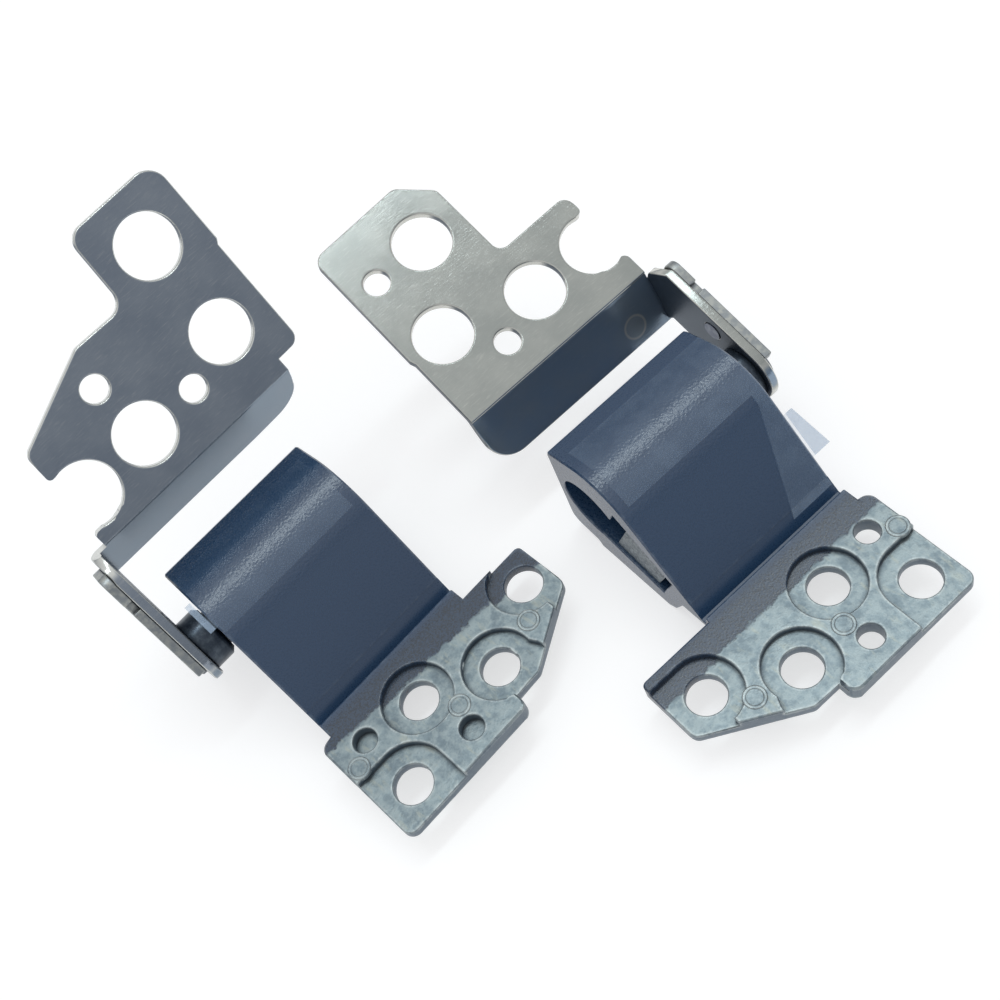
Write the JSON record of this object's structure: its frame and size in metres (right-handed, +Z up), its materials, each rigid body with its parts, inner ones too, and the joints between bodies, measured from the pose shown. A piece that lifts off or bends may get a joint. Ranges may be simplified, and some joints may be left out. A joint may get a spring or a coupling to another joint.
{
  "type": "laptop hinge pair",
  "caption": "Left and right laptop display hinges, each a painted keyhole barrel on a screw flange with friction clips on a steel shaft that turns a bent display leaf.",
  "frame": {"origin": "middle of the underside of the box round the pair, on the surface it lies on", "axes": "+X along the left hinge's axis, away from its ear; +Y from the screw flanges towards the display leaves; +Z up, out of the screw flanges' top faces"},
  "size_m": [0.0482, 0.0572, 0.0321],
  "materials": {
    "left_casting": "satin dark paint on the barrel, bare grey die casting on the flange",
    "right_casting": "satin dark paint on the barrel, bare grey die casting on the flange",
    "left_bracket_steel": "dull rolled sheet with bright sheared edges",
    "right_bracket_steel": "lightly brushed rolled sheet with bright sheared edges",
    "doubler_steel": "dull stamped sheet",
    "rivet_steel": "dull, formed",
    "shaft_steel": "dark, ground, with a thin film of grease",
    "clip_steel": "stamped spring sheet, dark and lightly greased",
    "key_steel": "sintered, speckled",
    "film": "thin clear protective film"
  },
  "bodies": {
    "bases": {"left_base_casting": "left_casting", "left_slot_key": "key_steel", "left_protective_film": "film", "right_base_casting": "right_casting", "right_slot_key": "key_steel", "right_protective_film": "film", "left_friction_clip_1": "clip_steel", "left_friction_clip_2": "clip_steel", "left_friction_clip_3": "clip_steel", "left_friction_clip_4": "clip_steel", "left_friction_clip_5": "clip_steel", "right_friction_clip_1": "clip_steel", "right_friction_clip_2": "clip_steel", "right_friction_clip_3": "clip_steel", "right_friction_clip_4": "clip_steel", "right_friction_clip_5": "clip_steel"},
    "left_display": {"left_display_bracket": "left_bracket_steel", "left_ear_doubler": "doubler_steel", "left_ear_rivet": "rivet_steel", "left_hinge_shaft": "shaft_steel"},
    "right_display": {"right_display_bracket": "right_bracket_steel", "right_ear_doubler": "doubler_steel", "right_ear_rivet": "rivet_steel", "right_hinge_shaft": "shaft_steel"}
  },
  "joints": [
    {"name": "left_display_turn", "type": "hinge", "parent": "bases", "child": "left_display", "pos_m": [-0.01397, 0.01357, 0.0062], "axis": [1, 0, 0], "range_deg": [-59.7, 118]},
    {"name": "right_display_turn", "type": "hinge", "parent": "bases", "child": "right_display", "pos_m": [0.01319, -0.00449, 0.0062], "axis": [0.9963, -0.0861, 0], "range_deg": [-20.7, 157]}
  ]
}
